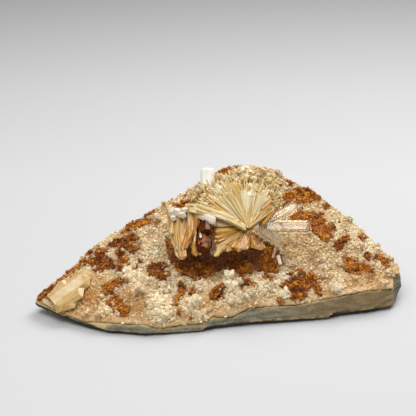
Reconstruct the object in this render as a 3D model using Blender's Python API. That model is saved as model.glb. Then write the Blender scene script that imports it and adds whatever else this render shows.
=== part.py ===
"""Mango quartz specimen: a wedge of grey slate under a crust of drusy quartz, with rusty limonite
masses and one spray of long quartz points.

X runs along the specimen, Y away from its crystal face's lower edge, and Z up. The origin is on the
surface that the specimen stands on, under the middle of its bounding box. All the tables and the
functions below work in millimetres, and meshes are made in metres.
"""

import math
import random

import bmesh
import bpy
from mathutils import Matrix, Vector, noise

MM = 0.001

# The whole specimen is about 150 mm long, 78 mm deep and 47 mm high.
DEPTH = 78.0
FACE_SLOPE = math.radians(33.0)
ACROSS = Vector((1.0, 0.0, 0.0))
UP_FACE = Vector((0.0, math.cos(FACE_SLOPE), math.sin(FACE_SLOPE)))
GROWTH = Vector((0.0, -math.sin(FACE_SLOPE), math.cos(FACE_SLOPE)))

# Edges of the slate, each as points (x, depth behind the nearest point, height).
FRONT_FOOT = (
    (-75, 19, 5.3), (-66, 12, 4.0), (-55, 7, 2.2), (-45, 2.4, 1.4), (-30, 0, 1.3), (-24, 0.4, 1.3),
    (-15, 2.5, 0.7), (-8, 3.5, 0.8), (-3, 5.5, 2.1), (5, 7.5, 1.6), (12, 9, 1.7), (30, 11.5, 1.6),
    (44, 14.3, 0.9), (45, 14.5, 2.1), (48, 16, 2.0), (60, 19, 2.1), (71, 23.5, 1.3), (73, 29, 2.6),
    (75, 33, 6.4),
)
FRONT_LIP = (
    (-75, 19, 6.7), (-66, 12, 5.4), (-55, 6.8, 3.2), (-45, 3, 4.5), (-30, 1, 4.7), (-24, 1, 3.2),
    (-15, 3, 3.6), (-8, 4, 3.6), (-3, 6, 5.4), (5, 8, 4.3), (12, 10, 7.6), (30, 13, 7.2),
    (45, 16, 9.0), (60, 20, 10.4), (71, 25, 8.6), (71.6, 30.5, 12.3), (75, 34, 11.0),
)
RIDGE = (
    (-75, 20.5, 7.6), (-69, 27, 10.0), (-62, 33, 13.6), (-54, 39, 20.0), (-45, 44, 24.9),
    (-31, 51, 31.2), (-18, 57, 36.6), (-8, 63, 41.4), (0, 67, 44.2), (8, 70, 45.2), (18, 70, 44.3),
    (27, 68, 41.0), (40, 64, 35.8), (51, 60, 28.0), (59, 55, 21.8), (67, 48, 16.8), (73, 41, 13.4),
    (75, 36, 12.0),
)
BACK_FOOT_RISE = ((-75, 4.6), (-62, 2.2), (-48, 0.6), (62, 0.6), (72, 3.5), (75, 7.0))
UNDERSIDE = ((-75, 4.2), (-60, 1.6), (-46, 0), (64, 0), (75, 4.8))
BACK_OVERHANG = 8.0

STATIONS = (
    -75, -72, -69, -66, -62, -58, -54, -50, -45, -40, -35, -30, -24, -19, -15, -11, -8, -3, 1, 5, 8,
    12, 18, 24, 30, 36, 40, 44, 45, 48, 52, 56, 60, 64, 67, 71, 71.6, 73, 75,
)  # fmt: skip

# The crust: its thickness by share of the way up the face, how much of that is left towards the
# thin ends, and the clearance that pieces keep.
CRUST_THICKNESS = ((0.0, 1.0), (0.1, 3.4), (1.0, 3.6))
THINNING = ((-75, 0.32), (-66, 0.5), (-56, 1.0), (64, 1.0), (75, 0.45))
CLEARANCE = 0.35
CRUST_ROWS = 11
CRUST_EDGE = 0.012
CRUST_INSET = 0.6
CUTTER_REACH = 6.0
SLATE_ROWS = (0.0, 0.1, 0.25, 0.4, 0.6, 0.8, 1.0)

# Mounds and hollows of the crust: (x, share up the face, half width, half height, rise).
SWELLS = (
    (10, 0.60, 17, 14, 4.0),
    (1, 0.35, 23, 7.5, -6.5),
    (32, 0.44, 14, 11, 4.2),
    (52, 0.70, 13, 9, 2.4),
    (15, 0.92, 18, 9, 1.6),
    (-32, 0.32, 8, 7, 3.6),
    (-24, 0.12, 8, 6, 2.6),
    (7, 0.15, 9, 6, 3.6),
    (-9, 0.10, 6, 5, 3.0),
    (-28, 0.66, 13, 10, 2.8),
    (32, 0.14, 10, 7, 1.6),
    (-60, 0.50, 10, 8, 1.2),
    (-22, 0.26, 6, 4, -2.4),
    (-48, 0.66, 8, 5, -1.8),
)

# Limonite masses: (name, x, share up the face, width, height, rise, turn in degrees).
LIMONITE = (
    ("peak", 1, 0.97, 8, 7, 2.2, 35),
    ("upper_right", 34.4, 0.92, 17, 8.5, 2.0, -4),
    ("upper_right_small", 44, 0.92, 4.5, 3.5, 1.4, 0),
    ("right_large", 39, 0.69, 21, 11, 2.4, -36),
    ("right_mid", 50.5, 0.58, 9.5, 5.5, 2.0, 35),
    ("right_rim", 59.5, 0.86, 5, 4, 1.5, 20),
    ("right_lower", 57, 0.42, 13.5, 7, 1.9, -20),
    ("right_end", 68, 0.56, 6, 3.5, 1.3, -40),
    ("front_right", 32.0, 0.125, 17, 11, 2.2, 12),
    ("front_middle", 0.2, 0.155, 8.5, 8, 2.6, 10),
    ("front_streak", 13, 0.22, 4, 9, 1.8, 28),
    ("front_left_streak", -16.5, 0.17, 6, 13, 2.0, -14),
    ("hollow_left", -24.5, 0.44, 12, 9, 3.0, -15),
    ("hollow_floor_left", -9, 0.36, 15, 8, 2.6, -10),
    ("hollow_floor_right", 7, 0.32, 14, 7, 2.4, 5),
    ("hollow_right", 21, 0.31, 11, 9, 2.8, 15),
    ("left_large", -47.5, 0.72, 13, 9, 2.4, 8),
    ("left_upper", -43.0, 0.84, 13, 6.5, 1.9, 24),
    ("left_inner", -35.5, 0.57, 5, 7, 1.6, -20),
    ("left_ridge", -34.0, 0.96, 16, 5.5, 1.8, 36),
    ("above_fingers", -14.2, 0.915, 13, 7, 2.4, 36),
    ("lower_left", -39.5, 0.16, 10, 14, 2.0, 38),
    ("lower_left_upper", -44, 0.40, 8, 9, 1.8, -10),
    ("left_rim", -60.5, 0.90, 13, 4.5, 1.6, 38),
    ("left_tip", -70, 0.72, 7, 4.5, 1.4, 36),
)

# A lump with more than this half width times half height is a finer ball.
FINE_BALL_AREA = 60.0

# The spray's own frame: its origin on the crust, then x along ACROSS, y along UP_FACE and z along
# GROWTH. Points: (root, tip, radius, flatness).
SPRAY_AT = (10, 0.59)
CLEAR_POINTS = (
    ((5.5, -6.0, 3.0), (21.9, 1.1, 8.0), 1.95, 0.85),
    ((2.5, -7.0, 2.6), (26.6, -10.1, 8.5), 2.6, 0.62),
    ((3.0, -8.0, 3.0), (16.8, -18.5, 8.5), 2.05, 0.85),
)
FINGERS = (
    ((-29.8, 1.0, 4.0), (-26.2, -24.2, 7.0), 2.4, 0.7),
    ((-31.0, 0.5, 2.5), (-27.8, -18.1, 5.5), 2.2, 0.8),
    ((-19.5, -1.0, 4.0), (-25.8, -21.2, 8.0), 2.3, 0.6),
    ((-20.7, -3.0, 2.5), (-19.8, -21.6, 5.0), 1.6, 0.8),
    ((-23.0, -0.5, 2.0), (-31.0, -2.4, 7.0), 2.7, 0.9),
    ((-21.0, 0.0, 2.0), (-26.4, -4.2, 9.0), 2.7, 0.9),
    ((-20.5, 0.0, 4.0), (-10.5, -8.0, 7.5), 2.6, 0.5),
    ((-16.6, -1.0, 2.0), (-17.0, -19.1, 6.0), 3.1, 0.85),
)
UNDER_POINTS = (
    ((0.0, -6.0, 1.5), (-13.4, -17.5, 3.5), 2.0, 0.8),
    ((1.0, -7.0, 1.2), (-8.1, -20.0, 4.2), 2.2, 0.8),
    ((2.0, -7.0, 1.2), (-3.0, -18.3, 3.6), 2.1, 0.8),
    ((1.5, -6.5, -0.5), (4.5, -17.0, 3.2), 1.8, 0.8),
)
# The fan spreads from the neck: its reach by angle in degrees, and rings of points as (number,
# height, share of the reach, radius).
NECK = (2.3, -6.5, 2.0)
FAN_REACH = ((30, 13.5), (71, 15.5), (108, 19.5), (140, 23.0), (170, 21.5))
FAN_RINGS = ((8, 6.5, 1.0, 2.0), (6, 10.5, 0.76, 2.1), (4, 12.5, 0.45, 2.2), (2, 13.0, 0.15, 2.2))
CORE_AT, CORE_HALVES = (-4.0, -1.5, 0.0), (12.0, 8.0, 4.6)
LUMPS = (
    ("spray_arm", (-19.0, 0.5, 0.5), (12.0, 4.5, 4.0)),
    ("spray_neck", (3.0, -7.5, 1.5), (4.6, 3.4, 3.0)),
)

PALE_GROUP_AT = (-60, 0.50)
PALE_GROUP = (
    ((-7.0, -7.5, 0.0), (7.6, 7.8, 4.0), 4.9, 0.45),
    ((-3.0, -8.8, 0.2), (8.4, 1.6, 3.4), 4.0, 0.5),
    ((-7.6, -4.0, 0.0), (0.8, 8.2, 3.2), 3.7, 0.45),
)
WHITE_CRYSTAL_AT = (-5.3, 0.945)
WHITE_CRYSTAL = ((0.4, -5.0, 0.0), (-0.6, 4.5, 4.2), 3.3, 0.75)

# Small points fused to the crust.
CRUST_POINTS = 60
POINT_SPACING = 6.4
KEEP_OFF_SPRAY = 2.0


def along(table, x, column):
    """The table's value in that column at x, straight between its points."""
    if x <= table[0][0]:
        return float(table[0][column])
    for before, after in zip(table, table[1:]):
        if x <= after[0]:
            share = (x - before[0]) / (after[0] - before[0])
            return before[column] + share * (after[column] - before[column])
    return float(table[-1][column])


def edge(table, x):
    """A point on one of the slate's edges."""
    return Vector((x, along(table, x, 1) - DEPTH / 2, along(table, x, 2)))


def swell(x, share, only_hollows=False):
    """How far mounds and hollows lift the crust there."""
    lift = 0.0
    here = face(x, share)
    for at_x, at_share, half_width, half_height, rise in SWELLS:
        if only_hollows and rise > 0:
            continue
        offset = here - face(at_x, at_share)
        near = (offset.dot(ACROSS) / half_width) ** 2 + (offset.dot(UP_FACE) / half_height) ** 2
        lift += rise * math.exp(-1.2 * near * near)
    return lift


def face(x, share):
    """The straight face from the lip, at share 0, to the ridge, at share 1."""
    return edge(FRONT_LIP, x).lerp(edge(RIDGE, x), share)


def crust_rise(x, share):
    """The crust's rise over the straight face, with its own roughness, less of it at the lip."""
    here = face(x, share)
    rough = noise.fractal(here / 7.5, 1.0, 2.2, 3)
    from_lip = (here - face(x, 0)).length
    return swell(x, share) + 1.1 * rough * min(1.0, 0.35 + 0.16 * from_lip)


def crust_top(x, share, clear=0.0):
    return face(x, share) + GROWTH * (crust_rise(x, share) + clear)


def slate_top(x, share, clear=0.0):
    """The slate's upper face, which the crust grows on."""
    hollow = swell(x, share, only_hollows=True)
    thickness = along(CRUST_THICKNESS, share, 1) * along(THINNING, x, 1)
    return face(x, share) + GROWTH * (hollow - max(0.9, thickness) + clear)


def new_object(name, points, faces, colour, roughness):
    """A mesh object from points in millimetres, with its faces pointing out."""
    mesh = bpy.data.meshes.new(name)
    mesh.from_pydata([Vector(p) * MM for p in points], [], faces)
    shape = bmesh.new()
    shape.from_mesh(mesh)
    bmesh.ops.recalc_face_normals(shape, faces=shape.faces)
    if shape.calc_volume(signed=True) < 0:
        bmesh.ops.reverse_faces(shape, faces=shape.faces)
    bmesh.ops.triangulate(shape, faces=shape.faces)
    shape.to_mesh(mesh)
    shape.free()
    obj = bpy.data.objects.new(name, mesh)
    bpy.context.scene.collection.objects.link(obj)
    mesh.materials.append(material(name, colour, roughness))
    return obj


def material(name, colour, roughness):
    made = bpy.data.materials.new(name)
    made.use_nodes = True
    shader = made.node_tree.nodes["Principled BSDF"]
    shader.inputs["Base Color"].default_value = (*colour, 1.0)
    shader.inputs["Roughness"].default_value = roughness
    shader.inputs["Metallic"].default_value = 0.0
    return made


def as_helper(obj, collection=None):
    """Marks a cutter, or a small shape that a Boolean joins to another, so that it isn't a piece."""
    obj.hide_render = True
    obj.display_type = "WIRE"
    if collection is not None:
        bpy.context.scene.collection.objects.unlink(obj)
        collection.objects.link(obj)
    return obj


def helper_collection(name):
    made = bpy.data.collections.new(name)
    made.hide_render = True
    bpy.context.scene.collection.children.link(made)
    return made


def boolean(obj, operation, other):
    """A Boolean with one object, or with all the objects of a collection."""
    modifier = obj.modifiers.new(operation.lower(), "BOOLEAN")
    modifier.operation = operation
    modifier.solver = "EXACT"
    if isinstance(other, bpy.types.Collection):
        modifier.operand_type = "COLLECTION"
        modifier.collection = other
    else:
        modifier.object = other


def halves_of_cell(first, across, opposite, up):
    """A twisted four-sided cell as two triangles, always parted from its first corner."""
    return [(first, across, opposite), (first, opposite, up)]


def layer(name, surface, columns, rows, floor, colour, roughness):
    """A closed body under a surface: its sides drop straight to a flat bottom at the floor height."""
    across, up = len(columns), len(rows)
    points = [surface(x, share) for x in columns for share in rows]
    faces = []
    for i in range(across - 1):
        for j in range(up - 1):
            faces += halves_of_cell(i * up + j, (i + 1) * up + j, (i + 1) * up + j + 1, i * up + j + 1)
    rim = [i * up for i in range(across)]
    rim += [(across - 1) * up + j for j in range(1, up)]
    rim += [i * up + up - 1 for i in range(across - 2, -1, -1)]
    rim += [j for j in range(up - 2, 0, -1)]
    below = len(points)
    points += [Vector((points[k].x, points[k].y, floor)) for k in rim]
    count = len(rim)
    for k in range(count):
        after = (k + 1) % count
        faces.append((rim[k], rim[after], below + after, below + k))
    faces.append(tuple(below + k for k in range(count)))
    return new_object(name, points, faces, colour, roughness)


def slate_section(x):
    """The slate's outline at one station, from its front foot up, over the top and back below."""
    def rough(line):
        return noise.noise(Vector((x * 0.16, 4.1 * line, 8.0)))

    foot, lip, ridge = edge(FRONT_FOOT, x), edge(FRONT_LIP, x), edge(RIDGE, x)
    band = foot.lerp(lip, 0.5) + Vector((0, 0.5 * rough(1), 0.3 * rough(2)))
    top = [slate_top(x, share) for share in SLATE_ROWS]
    back_z = along(BACK_FOOT_RISE, x, 1)
    tall = max(0.0, top[-1].z - back_z)
    behind = min(BACK_OVERHANG, 1.0 + 0.3 * tall)
    shoulder = Vector((x, ridge.y + behind * (0.45 + 0.35 * rough(3)), back_z + 0.72 * tall))
    waist = Vector((x, ridge.y + behind * (0.85 + 0.4 * rough(4)), back_z + 0.38 * tall))
    back_foot = Vector((x, ridge.y + behind, back_z))
    flat = along(UNDERSIDE, x, 1)
    under = min(flat, min(foot.z, back_z) - 0.05) if flat > 0 else 0.0
    depth = back_foot.y - foot.y
    front_floor = Vector((x, foot.y + min(6.0, 0.3 * depth), under))
    back_floor = Vector((x, back_foot.y - min(4.0, 0.3 * depth), under))
    if foot.z < 0.05:
        front_floor.y = foot.y + 2.0
    return [foot, band, *top, shoulder, waist, back_foot, back_floor, front_floor]


def make_slate():
    sections = [slate_section(x) for x in STATIONS]
    ring = len(sections[0])
    points = [p for section in sections for p in section]
    faces = []
    for i in range(len(sections) - 1):
        for j in range(ring):
            here, there, after = i * ring, (i + 1) * ring, (j + 1) % ring
            faces += halves_of_cell(here + j, there + j, there + after, here + after)
    last = (len(sections) - 1) * ring
    faces += [tuple(range(ring)), tuple(last + j for j in range(ring))]
    return new_object("slate_matrix", points, faces, (0.20, 0.20, 0.165), 0.75)


def point_shape(name, root, tip, radius, flatness, spin, collection):
    """One quartz point: a six-sided prism that tapers a little, with six faces meeting at its tip."""
    axis = tip - root
    length = axis.length
    to_axis = axis.to_track_quat("Z", "Y").to_matrix() @ Matrix.Rotation(spin, 3, "Z")
    cap = min(0.45 * length, 1.5 * radius)
    points = []
    for height, width in ((0.0, 0.9), (length - cap, 1.0)):
        for side in range(6):
            angle = side * math.tau / 6
            rhomb = 0.18 * cap * (side % 2) if height else 0.0
            at = Vector((math.cos(angle) * radius, math.sin(angle) * radius * flatness, 0)) * width
            points.append(root + to_axis @ (at + Vector((0, 0, height + rhomb))))
    points.append(root + to_axis @ Vector((0.12 * radius, 0.08 * radius, length)))
    faces = [tuple(range(5, -1, -1))]
    for side in range(6):
        after = (side + 1) % 6
        faces.append((side, after, 6 + after, 6 + side))
        faces.append((6 + side, 6 + after, 12))
    obj = new_object(name, points, faces, (0.8, 0.7, 0.45), 0.1)
    return as_helper(obj, collection)


def blob(name, centre, axes, halves, roughness_mm, seed, colour, surface):
    """A hackly lump: a faceted ball stretched along its own axes, with its corners pushed about."""
    mesh = bmesh.new()
    fine = 2 if halves[0] * halves[1] > FINE_BALL_AREA else 1
    bmesh.ops.create_icosphere(mesh, subdivisions=fine, radius=1.0)
    points = []
    for vertex in mesh.verts:
        square = [math.copysign(abs(c) ** 0.72, c) for c in vertex.co]
        push = 1 + roughness_mm * noise.noise(vertex.co * 1.7 + Vector((seed, 0, 0)))
        points.append(centre + sum((axes[k] * halves[k] * square[k] * push for k in range(3)), Vector()))
    faces = [tuple(v.index for v in f.verts) for f in mesh.faces]
    mesh.free()
    return new_object(name, points, faces, colour, surface)


def on_face_axes(turn):
    """Axes of a piece that lies on the face, turned about its growth direction."""
    right = Matrix.Rotation(math.radians(turn), 3, GROWTH) @ ACROSS
    return right, GROWTH.cross(right), GROWTH


def make_limonite(cutter):
    for number, (place, x, share, width, height, rise, turn) in enumerate(LIMONITE):
        centre = crust_top(x, share) + GROWTH * (0.15 * rise)
        halves = (width / 2, height / 2, rise)
        colour = (0.23, 0.085, 0.022)
        lump = blob(
            f"limonite_{place}", centre, on_face_axes(turn), halves, 0.32, number, colour, 0.8
        )
        boolean(lump, "DIFFERENCE", cutter)


def local_point(origin, offset):
    return origin + ACROSS * offset[0] + UP_FACE * offset[1] + GROWTH * offset[2]


def spray_points():
    """Every point of the spray as (root, tip, radius, flatness) in the spray's own frame."""
    rng = random.Random(7)
    listed = [*CLEAR_POINTS, *FINGERS, *UNDER_POINTS]
    for count, height, share, radius in FAN_RINGS:
        for k in range(count):
            turn = FAN_REACH[0][0] + (FAN_REACH[-1][0] - FAN_REACH[0][0]) * (k + 0.5) / count
            turn += rng.uniform(-5, 5)
            far = along(FAN_REACH, turn, 1) * share * rng.uniform(0.9, 1.05)
            angle = math.radians(turn)
            tip = (NECK[0] + far * math.cos(angle), NECK[1] + far * math.sin(angle),
                   height * rng.uniform(0.9, 1.1))  # fmt: skip
            listed.append((NECK, tip, radius * rng.uniform(0.85, 1.1), 0.75))
    return listed


def make_spray(cutter):
    origin = crust_top(*SPRAY_AT)
    parts = helper_collection("spray_points")
    rng = random.Random(11)
    for number, (root, tip, radius, flatness) in enumerate(spray_points()):
        ends = local_point(origin, root), local_point(origin, tip)
        point_shape(f"spray_point_{number}", *ends, radius, flatness, rng.uniform(0, 1), parts)
    for place, at, halves in LUMPS:
        lump = blob(place, local_point(origin, at), on_face_axes(0), halves, 0.25, 31,
                    (0.8, 0.7, 0.45), 0.1)  # fmt: skip
        as_helper(lump, parts)
    core = blob("mango_quartz_spray", local_point(origin, CORE_AT), on_face_axes(0), CORE_HALVES,
                0.25, 30, (0.74, 0.60, 0.34), 0.12)  # fmt: skip
    boolean(core, "UNION", parts)
    boolean(core, "DIFFERENCE", cutter)


def make_group(name, at, points, colour, cutter):
    """Crystals grown together, joined in one solid: the first is the piece, the rest are its helpers."""
    origin = crust_top(*at)
    parts = helper_collection(f"{name}_points")
    shapes = [
        point_shape(f"{name}_{k}", local_point(origin, root), local_point(origin, tip), radius, flatness,
                    0.5, parts)  # fmt: skip
        for k, (root, tip, radius, flatness) in enumerate(points)
    ]
    piece = shapes[0]
    parts.objects.unlink(piece)
    bpy.context.scene.collection.objects.link(piece)
    piece.name = name
    piece.hide_render = False
    piece.display_type = "TEXTURED"
    piece.data.materials[0] = material(name, colour, 0.15)
    if len(shapes) > 1:
        boolean(piece, "UNION", parts)
    boolean(piece, "DIFFERENCE", cutter)


def reach_of_pieces():
    """Circles on the face that the crust's fused points keep out of: (point, radius)."""
    circles = []
    for _, x, share, width, height, _, turn in LIMONITE:
        right, up, _ = on_face_axes(turn)
        long_way, half, short = (right, width, height) if width > height else (up, height, width)
        centre = crust_top(x, share)
        steps = max(1, round(half / short * 2))
        for k in range(steps):
            offset = (half - short) * (((k + 0.5) / steps) - 0.5) if steps > 1 else 0.0
            circles.append((centre + long_way * offset, 0.62 * short))
    groups = (
        (SPRAY_AT, spray_points()),
        (PALE_GROUP_AT, PALE_GROUP),
        (WHITE_CRYSTAL_AT, (WHITE_CRYSTAL,)),
    )
    for at, points in groups:
        origin = crust_top(*at)
        for root, tip, radius, _ in points:
            start, end = local_point(origin, root), local_point(origin, tip)
            for k in range(6):
                circles.append((start.lerp(end, k / 5), radius + KEEP_OFF_SPRAY))
    return circles


def clear_of(root, tip, radius, circles):
    """Whether a small point stays clear of the circles, measured from its root, middle and tip."""
    return all(
        (root.lerp(tip, k / 3) - centre).length > reach + radius + 0.8
        for centre, reach in circles
        for k in range(4)
    )


def crust_columns():
    """The crust's own stations: the slate's and some halfway between, just inside both ends."""
    halfway = {(a + b) / 2 for a, b in zip(STATIONS, STATIONS[1:]) if b - a > 4.5}
    inside = {x for x in STATIONS if STATIONS[0] < x < STATIONS[-1]}
    return sorted(inside | halfway | {STATIONS[0] + CRUST_INSET, STATIONS[-1] - CRUST_INSET})


def crust_rows():
    return [CRUST_EDGE + (1 - 2 * CRUST_EDGE) * k / CRUST_ROWS for k in range(CRUST_ROWS + 1)]


def make_crust(cutter):
    crust = layer("quartz_crust", crust_top, crust_columns(), crust_rows(), -12.0,
                  (0.66, 0.53, 0.34), 0.45)  # fmt: skip
    parts = helper_collection("crust_points")
    circles = reach_of_pieces()
    rng = random.Random(3)
    placed = []
    tries = 0
    while len(placed) < CRUST_POINTS and tries < 9000:
        tries += 1
        x, share = rng.uniform(-70, 72), rng.uniform(0.04, 0.97) ** 0.9
        foot = crust_top(x, share)
        radius, tall = rng.uniform(1.0, 1.9), rng.uniform(2.6, 4.6)
        lean = Vector((rng.uniform(-0.55, 0.55), rng.uniform(-0.3, 0.5), rng.uniform(-0.2, 0.4)))
        way = (GROWTH + lean).normalized()
        tip = foot + way * tall
        if any((foot - other).length < POINT_SPACING for other in placed):
            continue
        if not clear_of(foot, tip, radius, circles):
            continue
        point_shape(f"crust_point_{len(placed)}", foot - way * 1.6, tip, radius, 0.85,
                    rng.uniform(0, 1), parts)  # fmt: skip
        placed.append(foot)
    boolean(crust, "UNION", parts)
    boolean(crust, "DIFFERENCE", cutter)


def clearance(name, surface, columns, rows):
    """A cutter that holds all under a surface and a gap above it, and reaches past its edges."""

    def reaching(x, row):
        inside = min(max(x, columns[0]), columns[-1])
        past = min(0.0, row - rows[0]) + max(0.0, row - rows[-1])
        at = surface(inside, min(max(row, rows[0]), rows[-1]), CLEARANCE)
        return at + ACROSS * (x - inside) + UP_FACE * past * CUTTER_REACH

    wider = [columns[0] - CUTTER_REACH, *columns, columns[-1] + CUTTER_REACH]
    taller = [rows[0] - 1, *rows, rows[-1] + 1]
    return as_helper(layer(name, reaching, wider, taller, -30.0, (1, 1, 1), 0.5))


def main():
    for obj in list(bpy.data.objects):
        bpy.data.objects.remove(obj)
    over_slate = clearance("slate_clearance", slate_top, STATIONS, SLATE_ROWS)
    over_crust = clearance("crust_clearance", crust_top, crust_columns(), crust_rows())
    make_slate()
    make_crust(over_slate)
    make_limonite(over_crust)
    make_spray(over_crust)
    make_group("pale_crystal_group", PALE_GROUP_AT, PALE_GROUP, (0.78, 0.66, 0.42), over_crust)
    make_group("white_crystal", WHITE_CRYSTAL_AT, (WHITE_CRYSTAL,), (0.80, 0.77, 0.70), over_crust)


main()
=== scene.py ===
"""The looks of the mango quartz specimen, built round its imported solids.

A wedge of grey slate carries a crust of drusy quartz, rusty limonite patches and one spray of yellow
and water-clear quartz points. Tables and functions work in millimetres, and meshes are in metres.
"""

import math
import random

import bmesh
import bpy
import numpy as np
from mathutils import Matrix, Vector, noise
from mathutils.bvhtree import BVHTree


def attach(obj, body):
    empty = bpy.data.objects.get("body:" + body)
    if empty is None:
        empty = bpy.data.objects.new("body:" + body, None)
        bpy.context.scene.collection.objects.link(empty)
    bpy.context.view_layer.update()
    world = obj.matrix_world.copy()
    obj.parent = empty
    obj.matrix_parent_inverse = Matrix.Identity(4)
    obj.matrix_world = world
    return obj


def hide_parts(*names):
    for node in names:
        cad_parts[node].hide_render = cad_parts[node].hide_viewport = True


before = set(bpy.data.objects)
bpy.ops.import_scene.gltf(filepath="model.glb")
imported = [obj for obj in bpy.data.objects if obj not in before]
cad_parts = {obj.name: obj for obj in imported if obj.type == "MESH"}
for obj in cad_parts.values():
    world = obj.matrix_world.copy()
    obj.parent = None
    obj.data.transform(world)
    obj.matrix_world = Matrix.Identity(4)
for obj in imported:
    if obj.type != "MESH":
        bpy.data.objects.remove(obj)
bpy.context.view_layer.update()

MM = 0.001

# The specimen's crystal face: its slope, and the three ways that its pieces are placed by.
FACE_SLOPE = math.radians(33)
ACROSS = Vector((1.0, 0.0, 0.0))
UP_FACE = Vector((0.0, math.cos(FACE_SLOPE), math.sin(FACE_SLOPE)))
GROWTH = Vector((0.0, -math.sin(FACE_SLOPE), math.cos(FACE_SLOPE)))

# The camera: the photo's frame in pixels, its scale at the specimen, its angle and its distance.
PHOTO_PIXELS = 416
MM_PER_PIXEL = 0.41
CAMERA_TILT = math.radians(24)
CAMERA_DISTANCE = 600
CAMERA_AIM = Vector((-5.0, 0, 38.4))
SENSOR = 36

# Limonite patches by their outlines in the photo's pixels. The first group stands for the solids of
# those names, and the second is thin seams between them.
LIMONITE_PATCHES = {
    "peak": ((216, 170), (221, 169), (227, 165), (233, 162), (234, 164), (229, 170), (227, 175),
        (221, 178), (216, 173)),
    "above_fingers": ((172, 206), (182, 203), (191, 198), (200, 191), (203, 186), (206, 188), (203, 193),
        (200, 201), (197, 208), (190, 206), (182, 208)),
    "upper_right": ((282, 197), (288, 192), (295, 190), (301, 187), (309, 189), (316, 192), (322, 196),
        (320, 200), (312, 202), (301, 204), (294, 202), (286, 204)),
    "upper_right_small": ((322, 205), (326, 203), (331, 206), (326, 210)),
    "right_large": ((289, 218), (295, 213), (302, 210), (307, 212), (314, 213), (320, 215), (326, 221),
        (332, 225), (336, 229), (332, 235), (329, 240), (326, 242), (319, 237), (313, 233), (308, 229),
        (298, 226)),
    "right_mid": ((333, 245), (337, 242), (341, 238), (348, 235), (350, 240), (344, 245), (342, 250),
        (337, 252)),
    "right_rim": ((358, 236), (363, 234), (367, 238), (362, 242)),
    "right_lower": ((343, 258), (348, 257), (355, 260), (359, 264), (370, 264), (371, 267), (367, 268),
        (375, 271), (374, 274), (367, 272), (359, 274), (351, 274), (344, 269), (345, 264)),
    "right_end": ((377, 258), (382, 257), (387, 261), (389, 266), (384, 267), (380, 262)),
    "front_right": ((278, 287), (288, 281), (294, 277), (301, 278), (309, 276), (316, 279), (320, 287),
        (320, 292), (323, 295), (320, 297), (315, 292), (312, 287), (309, 290), (307, 296), (301, 300),
        (294, 302), (289, 299), (291, 293), (287, 289)),
    "front_streak": ((240, 275), (246, 278), (255, 283), (258, 289), (251, 287), (246, 283), (245, 287),
        (241, 292), (240, 288), (242, 282)),
    "front_middle": ((209, 294), (215, 287), (222, 283), (226, 287), (224, 292), (218, 300), (211, 299)),
    "front_left_streak": ((179, 286), (184, 285), (187, 291), (182, 295), (180, 298), (179, 303),
        (175, 306), (174, 302), (177, 297)),
    "hollow_left": ((146, 270), (151, 263), (157, 263), (166, 263), (168, 269), (170, 276), (168, 282),
        (160, 282), (156, 278), (149, 275)),
    "hollow_right": ((256, 264), (260, 255), (266, 248), (274, 247), (276, 255), (278, 262), (281, 269),
        (272, 273), (264, 271)),
    "hollow_floor_left": ((176, 270), (188, 263), (200, 262), (214, 265), (216, 272), (206, 278),
        (196, 280), (186, 276)),
    "hollow_floor_right": ((222, 266), (236, 262), (248, 262), (254, 267), (252, 274), (243, 274),
        (233, 270)),
    "left_inner": ((132, 274), (133, 269), (137, 265), (138, 259), (143, 262), (140, 266), (136, 271)),
    "left_large": ((92, 265), (88, 262), (90, 258), (95, 257), (94, 252), (98, 248), (102, 250),
        (109, 249), (107, 254), (111, 257), (114, 261), (116, 267), (111, 269), (105, 269), (101, 272),
        (96, 273), (92, 270)),
    "left_upper": ((107, 246), (112, 242), (118, 239), (126, 237), (133, 235), (137, 237), (143, 240),
        (136, 241), (130, 242), (127, 243), (134, 246), (142, 248), (138, 250), (133, 253), (128, 255),
        (129, 251), (124, 248), (118, 247)),
    "left_ridge": ((121, 233), (127, 228), (128, 224), (137, 221), (144, 218), (151, 219), (151, 223),
        (142, 226), (136, 229), (131, 234)),
    "left_rim": ((56, 284), (59, 281), (66, 271), (73, 267), (79, 265), (80, 269), (72, 274), (66, 278),
        (60, 281)),
    "left_tip": ((36, 301), (38, 296), (44, 290), (52, 284), (57, 285), (51, 291), (50, 299), (43, 298),
        (38, 302)),
    "lower_left_upper": ((101, 285), (107, 283), (115, 279), (122, 278), (128, 280), (119, 284),
        (116, 286), (113, 291), (112, 295), (106, 296), (103, 293)),
    "lower_left": ((104, 304), (110, 298), (117, 295), (121, 300), (123, 304), (130, 306), (131, 310),
        (126, 315), (121, 317), (114, 312), (110, 307)),
}  # fmt: skip
LIMONITE_SEAMS = (
    ((286, 180), (291, 180), (293, 184), (289, 186)),
    ((142, 216), (149, 211), (155, 210), (153, 214), (145, 217)),
    ((115, 251), (119, 249), (122, 252), (122, 257), (127, 258), (126, 263), (128, 266), (124, 268),
     (122, 273), (119, 271), (117, 267), (118, 259)),
    ((79, 264), (81, 260), (85, 260), (88, 264), (84, 266), (81, 267)),
    ((85, 253), (89, 250), (92, 251), (91, 254), (87, 255)),
    ((286, 276), (293, 271), (299, 269), (303, 273), (308, 275), (310, 272), (321, 278), (324, 283),
     (320, 283), (313, 278), (305, 277), (299, 275), (292, 277)),
    ((276, 299), (281, 299), (285, 302), (281, 305)),
    ((239, 181), (242, 182), (249, 182), (247, 185), (240, 185)),
    ((176, 315), (179, 309), (183, 316)),
    ((191, 288), (195, 291), (193, 295), (189, 292)),
    ((166, 241), (173, 240), (176, 246), (177, 254), (172, 252)),
    ((374, 256), (379, 253), (385, 259), (376, 262)),
    ((363, 256), (369, 254), (372, 260), (366, 261)),
    ((261, 276), (268, 275), (277, 278), (268, 281)),
)  # fmt: skip

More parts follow.
